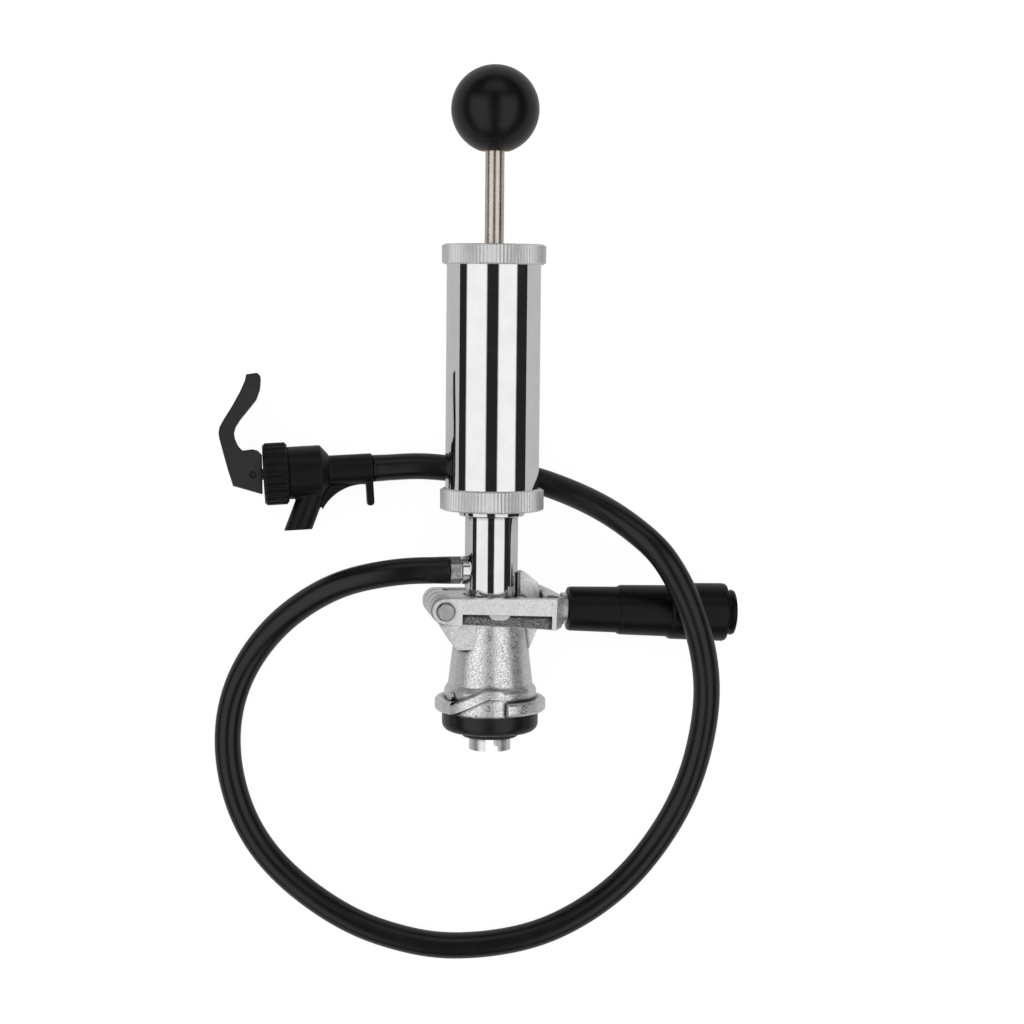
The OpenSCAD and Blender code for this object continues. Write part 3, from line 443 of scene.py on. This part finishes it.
@dataclass(frozen=True)
class MetalFinish:
    """A metal surface: plated, drawn, cast or turned."""

    name: str
    colour: tuple[float, float, float, float]
    dark: tuple[float, float, float, float]
    smooth: float
    dull: float
    grain_mm: float
    grain: Grain
    bump: float
    pits: float = 0.0
    pit_mm: float = 0.7
    patch_mm: float = 9.0
    # Strength of the painted shade that darkens corners and creases
    crevice_shade: float = 0.0
    # Strength of the painted highlight that lightens convex edges
    edge: float = 0.0
    # Whether the sunk panels of the lever arms are painted dark as shade, speckled, rougher and with more
    # bump
    shaded_pocket: bool = False
    metallic: float = 1.0
    round_mm: float = 0.0
    # Reach of the painted shade in corners and creases, in millimetres
    crevice_shade_mm: float = 2.2

    def pocket_mask(self, p: Painter) -> Flow:
        """The sunk panel in the outer side of each lever arm.

        Args:
            p: The tree's painter.

        Returns:
            One in the panels and nought elsewhere.
        """
        side = p.along(LEVER, LEVER.side)
        side = side.at_least(0 - side)
        high, far = p.along(LEVER, LEVER.up), p.along(LEVER, LEVER.along)
        depth, length = side.between(*POCKET_SIDE, 0.35), far.between(*POCKET_FAR, 0.25)
        return depth * (1 - high.step(*POCKET_TOP)) * length

    def paint(self) -> bpy.types.Material:
        """Makes the material.

        Returns:
            The metal, with cloudy patches, fine grain and, where it is cast, small pits, and with painted
            shade in corners, creases and the lever's sunk panels and painted highlights along convex edges.
        """
        mat = bpy.data.materials.new(self.name)
        mat.use_nodes = True
        p = Painter(mat.node_tree)
        patches = p.noise(self.patch_mm, 3, 0.6).step(0.36, 0.66)
        fine = p.noise(self.grain_mm, 4, 0.6, self.grain.value)
        colour = p.mix(patches * 0.55 + fine * 0.45, self.dark, self.colour)
        dull = patches * fine
        height = fine * 0.6 + patches * 0.4
        if self.pits:
            pits = p.noise(self.pit_mm, 5, 0.7).step(0.5, 0.7)
            colour = p.mix(pits * self.pits, colour, grey(self.dark[1] * 0.42))
            height = height - pits * 0.8
            dull = dull + pits * 0.4
        # Painted shade in the lever arms' sunk panels, with dark specks in it
        if self.shaded_pocket:
            shaded_pocket = self.pocket_mask(p)
            specks = p.noise(0.55, 4, 0.75).step(0.42, 0.58)
            # Painted shadow along each panel's upper edge
            top = p.along(LEVER, LEVER.up).step(*POCKET_SHADE)
            colour = p.mix(shaded_pocket * (specks * 0.42 + 0.58 + top * 0.4), colour, grey(0.03))
            dull = dull + shaded_pocket * 0.6
            height = height + shaded_pocket * specks * 0.8
        # Painted shade: colour darkened in corners and creases, found by ambient occlusion
        if self.crevice_shade:
            painted_crevice_shade = p.hollow(self.crevice_shade_mm).step(0.12, 0.34)
            colour = p.mix(painted_crevice_shade * self.crevice_shade, colour, grey(self.dark[1] * 0.05))
        # Painted highlight: colour lightened along convex edges
        if self.edge:
            painted_rim_shading = p.hollow(PAINTED_RIM_MM, True).step(*PAINTED_RIM_STEP)
            colour = p.mix(painted_rim_shading * self.edge, colour, grey(0.96))
        relief = {"Strength": self.bump, "Distance": METAL_DEPTH, "Height": height}
        if self.round_mm:
            relief["Normal"] = p.node("ShaderNodeBevel", {"samples": 4}, {"Radius": self.round_mm * MM})
        bump = p.node("ShaderNodeBump", {}, relief, "Normal")
        shader = p.node("ShaderNodeBsdfPrincipled", {}, {
            "Base Color": colour, "Metallic": self.metallic, "Normal": bump,
            "Roughness": dull * (self.dull - self.smooth) + self.smooth})
        _close(p, shader)
        return mat


def _close(p: Painter, shader: Flow) -> None:
    """Ends a material's tree.

    Args:
        p: The tree's painter.
        shader: What the surface shows.
    """
    end = p.tree.nodes.new("ShaderNodeOutputMaterial")
    p.tree.links.new(shader.socket, end.inputs["Surface"])


@dataclass(frozen=True)
class PolymerFinish:
    """A moulded plastic, vinyl or rubber surface."""

    name: str
    colour: tuple[float, float, float, float]
    worn: tuple[float, float, float, float]
    smooth: float
    dull: float
    grain_mm: float
    bump: float
    grain: Grain = Grain.EVEN
    coat: float = 0.0
    gloss: float = 0.5
    # Strength of a painted line along convex edges: a highlight where its grey is lighter than the surface,
    # shade where it is darker
    edge: float = 0.0
    edge_mm: float = PAINTED_RIM_MM
    painted_rim_grey: float = 0.1

    def paint(self) -> bpy.types.Material:
        """Makes the material.

        Returns:
            The moulded surface, with handling marks, specks of dust and a fine grain, and a painted line
            along convex edges: lighter as a highlight, darker as shade on the thumb lever.
        """
        mat = bpy.data.materials.new(self.name)
        mat.use_nodes = True
        p = Painter(mat.node_tree)
        rubbed = p.noise(14, 4, 0.65).step(0.42, 0.72)
        fine = p.noise(self.grain_mm, 3, 0.6, self.grain.value)
        dust = p.noise(0.9, 2, 0.5).step(0.68, 0.76)
        colour = p.mix(rubbed * 0.5 + fine * 0.3, self.colour, self.worn)
        colour = p.mix(dust * 0.12, colour, grey(max(self.worn[1] * 2.2, 0.03)))
        # Painted line along convex edges: lighter as a highlight on the grip and tap body, darker as shade
        # on the thumb lever
        if self.edge:
            painted_rim_shading = p.hollow(self.edge_mm, True).step(*PAINTED_RIM_STEP)
            colour = p.mix(painted_rim_shading * self.edge, colour, grey(self.painted_rim_grey))
        bump = p.node("ShaderNodeBump", {},
                      {"Strength": self.bump, "Distance": MOULD_DEPTH, "Height": fine}, "Normal")
        shader = p.node("ShaderNodeBsdfPrincipled", {}, {
            "Base Color": colour, "Normal": bump, "Coat Weight": self.coat, "Coat Roughness": 0.12,
            "Specular IOR Level": self.gloss,
            "Roughness": (rubbed * 0.6 + fine * 0.4) * (self.dull - self.smooth) + self.smooth})
        _close(p, shader)
        return mat


@dataclass
class Finishes:
    """Every finish of the pump, painted once."""

    made: dict[str, bpy.types.Material] = field(default_factory=dict)

    def paint_all(self) -> None:
        """Paints the whole set."""
        e, l, r = Grain.EVEN, Grain.LENGTHWISE, Grain.ROUND
        for finish in (
            MetalFinish("barrel_chrome", grey(0.90), grey(0.82, -0.01), 0.02, 0.09, 1.6, l, 0.012),
            MetalFinish("stem_chrome", grey(0.88), grey(0.76, -0.01), 0.04, 0.14, 1.2, l, 0.03,
                        crevice_shade=0.5),
            MetalFinish("cast_zinc", grey(0.99, 0.004), grey(0.9), 0.15, 0.27, 0.4, e, 0.6, 0.34, 0.6, 7,
                        0.98, 0.8, metallic=0.95, round_mm=0.45, crevice_shade_mm=2.6),
            MetalFinish("cast_lever", grey(0.96, 0.004), grey(0.84), 0.24, 0.36, 0.45, e, 0.5, 0.2, 0.6, 6,
                        0.98, 0.9, shaded_pocket=True, metallic=0.7, round_mm=0.35, crevice_shade_mm=2.6),
            MetalFinish("satin_knurl", grey(0.92), grey(0.82), 0.42, 0.56, 0.5, r, 0.12, 0.06, 0.5, 8, 0.3,
                        0.35, metallic=0.85),
            MetalFinish("nickel_rod", (0.76, 0.70, 0.63, 1), (0.60, 0.53, 0.46, 1), 0.24, 0.34, 0.5, l,
                        0.08),
            MetalFinish("turned_steel", grey(0.68), grey(0.5), 0.26, 0.42, 0.4, e, 0.2, 0.3, 0.6, 4, 0.6,
                        0.6),
            # The outlet's hex: chrome painted darker, with dark patches, as painted shade and dark
            # reflection on its facets
            MetalFinish("hex_chrome_painted_dark", grey(0.55), grey(0.2), 0.1, 0.24, 0.6, e, 0.1, 0.3, 0.8, 3, 0.95,
                        0.9),
            MetalFinish("bright_stud", grey(0.95), grey(0.88), 0.34, 0.5, 0.5, e, 0.1, crevice_shade=0.5,
                        edge=0.4),
            MetalFinish("bright_probe", grey(0.93), grey(0.8), 0.3, 0.5, 0.5, e, 0.15, crevice_shade=0.7,
                        edge=0.5),
            MetalFinish("yellow_brass", (0.80, 0.60, 0.28, 1), (0.55, 0.38, 0.16, 1), 0.16, 0.34, 0.5, e,
                        0.12, 0.2),
            PolymerFinish("seal_rubber", grey(0.006), grey(0.012), 0.22, 0.4, 0.5, 0.12, e, 0.0, 0.35),
            PolymerFinish("inner_rubber", grey(0.012), grey(0.024), 0.4, 0.6, 0.4, 0.2, gloss=0.3),
            PolymerFinish("grip_plastic", grey(0.002), grey(0.005), 0.3, 0.4, 0.35, 0.12, gloss=0.24,
                          edge=0.3),
            PolymerFinish("tap_plastic", grey(0.003), grey(0.007), 0.34, 0.46, 0.35, 0.18, gloss=0.24,
                          edge=0.25),
            # The thumb lever is painted a lighter grey than the tap body to stand for light on its side
            # face, and its edges are painted dark as shade
            PolymerFinish("thumb_plastic_painted_lit", grey(0.022), grey(0.032), 0.4, 0.52, 0.35, 0.2, gloss=0.3,
                          edge=0.85, edge_mm=1.2, painted_rim_grey=0.002),
            PolymerFinish("knob_plastic_gloss", grey(0.004), grey(0.008), 0.24, 0.34, 0.4, 0.04, gloss=0.3),
            PolymerFinish("hose_vinyl_black", grey(0.003), grey(0.006), 0.26, 0.36, 0.6, 0.06, gloss=0.42),
            PolymerFinish("valve_white", grey(0.72, 0.02), grey(0.6, 0.03), 0.35, 0.5, 0.5, 0.1),
            PolymerFinish("block_plastic", grey(0.02), grey(0.035), 0.4, 0.6, 0.5, 0.1),
        ):
            self.made[finish.name] = finish.paint()

    def of(self, name: str) -> bpy.types.Material:
        """The material of that finish."""
        return self.made[name]


# Meshes


def swept_tube(name: str, line: Sequence[Vector], radius: float, sides: int,
               swell: Callable[[float], float] | None = None) -> bpy.types.Object:
    """A closed tube along a line, with no twist.

    Args:
        name: Name of the object.
        line: Points of its middle, in metres.
        radius: Its radius in metres.
        sides: Facets round it.
        swell: Radius factor by share of the length.

    Returns:
        The tube, with closed ends.
    """
    bm = bmesh.new()
    rings: list[list[bmesh.types.BMVert]] = []
    n = len(line)
    heading = [(line[min(i + 1, n - 1)] - line[max(i - 1, 0)]).normalized() for i in range(n)]
    across = heading[0].orthogonal().normalized()
    for i in range(n):
        across = (across - heading[i] * across.dot(heading[i])).normalized()
        other = heading[i].cross(across)
        r = radius * (swell(i / (n - 1)) if swell else 1.0)
        rings.append([bm.verts.new(line[i] + (across * math.cos(a) + other * math.sin(a)) * r)
                      for a in (2 * math.pi * k / sides for k in range(sides))])
    for a, b in zip(rings, rings[1:]):
        for k in range(sides):
            bm.faces.new((a[k], a[(k + 1) % sides], b[(k + 1) % sides], b[k]))
    bm.faces.new(list(reversed(rings[0])))
    bm.faces.new(rings[-1])
    return _object(name, bm)


def _object(name: str, bm: bmesh.types.BMesh) -> bpy.types.Object:
    """Turns a bmesh into a smooth-shaded object of the scene.

    Args:
        name: Name of the object.
        bm: Its mesh, which is freed.

    Returns:
        The object.
    """
    bmesh.ops.recalc_face_normals(bm, faces=bm.faces[:])
    me = bpy.data.meshes.new(name)
    bm.to_mesh(me)
    bm.free()
    for f in me.polygons:
        f.use_smooth = len(f.vertices) < 5
    o = bpy.data.objects.new(name, me)
    bpy.context.scene.collection.objects.link(o)
    return o


def smooth_line(points: Sequence[Point], parts: int) -> list[Vector]:
    """A smooth line through points given in millimetres.

    Args:
        points: What the line passes through.
        parts: Pieces between two points.

    Returns:
        Its points in metres.
    """
    v = [Vector(p) * MM for p in points]
    out: list[Vector] = []
    for i in range(len(v) - 1):
        p0, p1, p2, p3 = v[max(i - 1, 0)], v[i], v[i + 1], v[min(i + 2, len(v) - 1)]
        for k in range(parts):
            t = k / parts
            out.append(0.5 * (2 * p1 + (p2 - p0) * t + (2 * p0 - 5 * p1 + 4 * p2 - p3) * t * t
                              + (3 * p1 - p0 - 3 * p2 + p3) * t ** 3))
    return out + [v[-1]]


def eased(line: Sequence[Vector], rounds: int) -> list[Vector]:
    """The same line with its small wobbles taken out.

    Args:
        line: Points of the line.
        rounds: How often each point moves to the middle of its neighbours.

    Returns:
        The eased points; two at each end stay where they are.
    """
    out = list(line)
    for _ in range(rounds):
        out = out[:2] + [(a + 2 * b + c) / 4 for a, b, c in zip(out[1:], out[2:], out[3:-1])] + out[-2:]
    return out


def coil(name: str, place: Placing, base: Point, radius: float, wire: float, length: float,
         turns: float, along_axis: int) -> bpy.types.Object:
    """A compression spring.

    Args:
        name: Name of the object.
        place: The frame it is measured in.
        base: Middle of its first turn, in millimetres.
        radius: Radius to the wire's middle.
        wire: Radius of the wire.
        length: Its length over the wire.
        turns: Number of turns.
        along_axis: Which direction of the frame it follows.

    Returns:
        The spring.
    """
    line: list[Vector] = []
    steps = int(turns * TURN_POINTS)
    for i in range(steps + 1):
        t = i / steps
        rise = min(1.0, max(0.0, (t * turns - CLOSED_TURNS) / max(turns - 2 * CLOSED_TURNS, 0.1)))
        run = wire + (length - 2 * wire) * (CLOSED_SHARE + (1 - 2 * CLOSED_SHARE) * rise)
        a = 2 * math.pi * turns * t
        round_ = (radius * math.cos(a), radius * math.sin(a))
        p = [0.0, 0.0, 0.0]
        p[along_axis] = run
        others = [k for k in range(3) if k != along_axis]
        p[others[0]], p[others[1]] = round_
        line.append(place.at([base[k] + p[k] for k in range(3)]))
    return swept_tube(name, line, wire * MM, 10)


# Sub-assemblies


@dataclass
class SubAssembly:
    """A group of pieces that is built and dressed together."""

    finishes: Finishes

    def dress(self, finish: str, *nodes: str) -> None:
        """Gives pieces of the frame a finish.

        Args:
            finish: Name of the finish.
            nodes: The pieces.
        """
        for name in nodes:
            o = frame["nodes"][name]
            for s in o.material_slots:
                s.material = self.finishes.of(finish)
            log.info("%s: %s", name, finish)

    def soften(self, node: str, voxel_mm: float, rounds: int) -> None:
        """Rounds a cast or moulded piece's edges.

        Args:
            node: The piece.
            voxel_mm: Grid of its skin.
            rounds: How often the skin is smoothed.
        """
        o = frame["nodes"][node]
        skin = o.modifiers.new("skin", "REMESH")
        skin.mode, skin.voxel_size, skin.use_smooth_shade = "VOXEL", voxel_mm * MM, True
        ease = o.modifiers.new("ease", "SMOOTH")
        ease.factor, ease.iterations = 0.5, rounds

    def add(self, piece: bpy.types.Object, body: str, finish: str, slot: str,
            *nodes: str) -> bpy.types.Object:
        """Puts a new piece on its body in place of the frame's own.

        Args:
            piece: The new piece.
            body: What it moves with.
            finish: Its finish.
            slot: Name of a record's slot; not used.
            nodes: What it stands for.

        Returns:
            The piece.
        """
        piece.data.materials.append(self.finishes.of(finish))
        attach(piece, body)
        if nodes:
            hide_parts(*nodes)
        log.info("%s on %s", piece.name, body)
        return piece


@dataclass
class BeerHose(SubAssembly):
    """The vinyl hose, from the outlet round over the grip to the tap."""

    diameter: float = 12.0
    outlet_out: float = 18.8
    outlet_h: float = 64.3
    tail_end: float = 49.6
    route: tuple[Point, ...] = (
        (-33.5, -72, 34.5), (-45.5, -74, 33.5), (-60.5, -77.5, 29), (-75.5, -85.5, 23), (-90.5, -96.5, 15),
        (-103.5, -112.5, 9), (-111.5, -129.5, 6), (-114.5, -148.5, 6), (-112.5, -167.5, 6),
        (-106.5, -186.5, 6),
        (-96.5, -202.5, 6), (-83.5, -215.5, 6), (-68.5, -226.5, 6), (-52.5, -235.5, 6), (-36.5, -240.5, 6),
        (-19.5, -244.5, 6), (-2.5, -244.5, 6), (14.5, -242.5, 6), (30.5, -238.5, 6), (45.5, -231.5, 6),
        (60.5, -221.5, 6),
        (72.5, -210.5, 6), (83.5, -196.5, 6.5), (92.5, -181.5, 8.5), (99.5, -164.5, 12.5),
        (103.5, -145.5, 18.5),
        (105.5, -125.5, 25.5), (102.5, -105.5, 32), (96.5, -86.5, 37.5), (86.5, -67.5, 40.6),
        (78.5, -58.5, 39.4),
        (68.5, -50.5, 35.4), (58.5, -43.5, 28.8), (46.5, -37.5, 19.8), (36.5, -33.5, 13.2),
        (26.5, -30, 8.7),
        (16.5, -28, 6.5), (6.5, -27, 6), (-4.5, -26, 6), (-14.5, -25, 6), (-26.5, -24, 6.8))

    def over_barb(self, share: float) -> float:
        """How the hose swells where it is pushed over the fitting and the tail.

        Args:
            share: Place along the hose, from 0 to 1.

        Returns:
            Factor on its radius.
        """
        reach = 0.012
        near = min(share, 1 - share) / reach
        return 1.0 + 0.03 * max(0.0, 1 - near) ** 0.5

    def build(self) -> None:
        """Sweeps the hose, puts it on the probe's body in place of the frame's hose and logs its length."""
        lead = self.diameter
        ends = [PUMP.at((-self.outlet_out, 0, self.outlet_h)),
                PUMP.at((-self.outlet_out - lead, 0, self.outlet_h)),
                TAP.at((self.tail_end + lead, 0, 0)), TAP.at((self.tail_end, 0, 0))]
        mm = [tuple(v / MM for v in e) for e in ends]
        line = eased(smooth_line([mm[0], mm[1], *self.route, mm[2], mm[3]], 5), 16)
        hose = swept_tube("beer_hose", line, self.diameter / 2 * MM, 36, self.over_barb)
        self.add(hose, "probe", "hose_vinyl_black", "hose_vinyl", "hose")
        length = sum((b - a).length for a, b in zip(line, line[1:]))
        log.info("hose length %.3f m", length)


@dataclass
class Coupler(SubAssembly):
    """The cast body that locks on the keg, with its seal, hinge and stud."""

    def build(self) -> None:
        """Dresses the casting and the pieces on it."""
        self.dress("cast_zinc", "coupler_body")
        self.dress("seal_rubber", "bottom_seal")
        self.dress("turned_steel", "hinge_pin", "hinge_washers")
        self.dress("bright_stud", "index_stud")


@dataclass
class Lever(SubAssembly):
    """The fork and its grip."""

    hinge_h: float = 48.4
    spring_from: float = 44.4
    spring_to: float = 59.9
    spring_r: float = 3.55
    wire_r: float = 0.65
    turns: int = 8

    def build(self) -> None:
        """Winds the latch spring and dresses the pieces."""
        self.dress("cast_lever", "yoke")
        self.dress("stem_chrome", "handle_shank")
        self.dress("bright_stud", "grip_washer")
        self.dress("grip_plastic", "grip_sleeve", "grip_end_cap")
        self.dress("turned_steel", "latch_plunger")
        spring = coil("latch_coil", LEVER, (self.spring_from, 0, self.hinge_h), self.spring_r, self.wire_r,
                      self.spring_to - self.spring_from, self.turns, 0)
        body = frame["nodes"]["latch_spring"]["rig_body"]
        self.add(spring, body, "turned_steel", "pin_metal", "latch_spring")


@dataclass
class Stem(SubAssembly):
    """The chromed stem and the probe below it."""

    def build(self) -> None:
        """Dresses the stem and probe."""
        self.dress("stem_chrome", "stem_tube", "stem_flange", "beer_tube")
        self.dress("bright_probe", "probe_tip")
        self.dress("hex_chrome_painted_dark", "outlet_fitting")
        self.dress("turned_steel", "trunnion_pins", "check_stop_pin", "beer_check_ball")
        self.dress("inner_rubber", "stem_o_rings", "probe_seal", "foot_valve_disc")


@dataclass
class Barrel(SubAssembly):
    """The pump's barrel between its two knurled rings, with piston, rod and knob."""

    def build(self) -> None:
        """Dresses the barrel and what moves in it."""
        self.dress("barrel_chrome", "barrel_tube")
        self.dress("satin_knurl", "lower_collar", "top_cap")
        self.dress("inner_rubber", "base_gasket", "piston_cup", "rod_bumper")
        self.dress("block_plastic", "barrel_base")
        self.dress("yellow_brass", "rod_bushing", "knob_insert")
        self.dress("nickel_rod", "pump_rod")
        self.dress("knob_plastic_gloss", "knob")
        self.dress("turned_steel", "piston_plate_upper", "piston_plate_lower", "piston_nut")


@dataclass
class ThumbTap(SubAssembly):
    """The plastic tap with its thumb lever and valve."""

    spring_from: float = 3.2
    spring_r: float = 4.1
    wire_r: float = 0.6
    turns: int = 6
    end_gap: float = 2.0

    def build(self) -> None:
        """Softens the mouldings, winds the valve spring and dresses the pieces."""
        self.soften("faucet_body", 0.35, 3)
        self.soften("faucet_lever", 0.35, 3)
        self.soften("faucet_collar", 0.3, 2)
        self.dress("tap_plastic", "faucet_body", "faucet_collar")
        self.dress("thumb_plastic_painted_lit", "faucet_lever", "lever_pin")
        self.dress("inner_rubber", "faucet_gasket", "valve_seal")
        self.dress("valve_white", "valve_stem")
        lo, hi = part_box("faucet_spring")
        run = (hi.x - lo.x) / MM - self.end_gap
        spring = coil("valve_coil", TAP, (self.spring_from, 0, 0), self.spring_r, self.wire_r, run,
                      self.turns, 0)
        self.add(spring, frame["nodes"]["faucet_spring"]["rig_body"], "turned_steel", "pin_metal",
                 "faucet_spring")


# Studio


@dataclass
class Studio:
    """The white table, the plain light round it and the camera above."""

    eye: Point = (0.01594, -0.04496, 1.132)
    turn_deg: float = 0.5615
    lens_mm: float = 86.13
    table_m: float = 12.0
    left_box_deg: tuple[float, float] = (-68, -16)
    right_box_deg: tuple[float, float] = (13, 59)
    boxes_y: tuple[float, float] = (-0.86, 0.42)
    far_box_deg: tuple[float, float] = (-38, 38)
    far_box_y: tuple[float, float] = (0.62, 0.93)

    def camera(self) -> None:
        """Sets the camera over the table, as the photograph was taken."""
        data = bpy.data.cameras.new("eye")
        data.sensor_width, data.lens = 36.0, self.lens_mm
        cam = bpy.data.objects.new("eye", data)
        cam.location, cam.rotation_euler = self.eye, (0, 0, math.radians(self.turn_deg))
        bpy.context.scene.collection.objects.link(cam)
        bpy.context.scene.camera = cam

    def table(self) -> None:
        """Makes the white table top."""
        bm = bmesh.new()
        h = self.table_m / 2
        bm.faces.new([bm.verts.new((x * h, y * h, 0)) for x, y in ((-1, -1), (1, -1), (1, 1), (-1, 1))])
        top = _object("table_top", bm)
        mat = bpy.data.materials.new("table_white")
        mat.use_nodes = True
        p = Painter(mat.node_tree)
        seen = p.node("ShaderNodeLightPath", out="Is Camera Ray")
        for ray in ("Is Glossy Ray", "Is Transmission Ray"):
            seen = seen.at_least(p.node("ShaderNodeLightPath", out=ray))
        board = p.node("ShaderNodeBsdfDiffuse", {}, {"Color": p.mix(p.noise(3), grey(0.88), grey(0.92))})
        direct = p.node("ShaderNodeLightPath", out="Is Camera Ray")
        white = p.node("ShaderNodeEmission", {},
                       {"Color": p.mix(direct, grey(0.5), grey(1.05)), "Strength": 1.0})
        _close(p, p.node("ShaderNodeMixShader", {}, {0: seen * 0.9, 1: board, 2: white}))
        top.data.materials.append(mat)

    def light(self) -> None:
        """Lights the table from a plain room with two long soft boxes that metal mirrors."""
        world = bpy.data.worlds.new("room")
        bpy.context.scene.world = world
        world.use_nodes = True
        p = Painter(world.node_tree)
        way = p.node("ShaderNodeTexCoord", out="Generated")
        parts = p.tree.nodes.new("ShaderNodeSeparateXYZ")
        p.tree.links.new(way.socket, parts.inputs[0])
        x, y, z = (Flow(p.tree, s) for s in parts.outputs)
        swing = p.node("ShaderNodeMath", {"operation": "ARCTAN2"}, {0: x, 1: z}) * (180 / math.pi)
        boxes = swing.between(*self.left_box_deg, 2.5) + swing.between(*self.right_box_deg, 2.5)
        boxes = boxes * y.between(*self.boxes_y, 0.12)
        far = y.between(*self.far_box_y, 0.1) * swing.between(*self.far_box_deg, 8) * 0.7
        glossy = boxes.at_least(far) * 0.98 + 0.02
        path = p.tree.nodes.new("ShaderNodeLightPath")
        cam, gloss = (Flow(p.tree, path.outputs[n]) for n in ("Is Camera Ray", "Is Glossy Ray"))
        level = gloss * glossy + (1 - gloss) * 0.95
        level = cam + (1 - cam) * level
        back = p.tree.nodes.new("ShaderNodeBackground")
        p.tree.links.new(level.socket, back.inputs["Color"])
        end = p.tree.nodes.new("ShaderNodeOutputWorld")
        p.tree.links.new(back.outputs[0], end.inputs[0])
        bpy.context.scene.view_settings.view_transform = "Standard"


def main() -> None:
    """Builds the whole scene in order."""
    finishes = Finishes()
    finishes.paint_all()
    studio = Studio()
    studio.camera()
    for made in (BeerHose, Coupler, Lever, Stem, Barrel, ThumbTap):
        made(finishes).build()
        log.info("%s done", made.__name__)
    studio.table()
    studio.light()


if __name__ == "__main__":
    main()
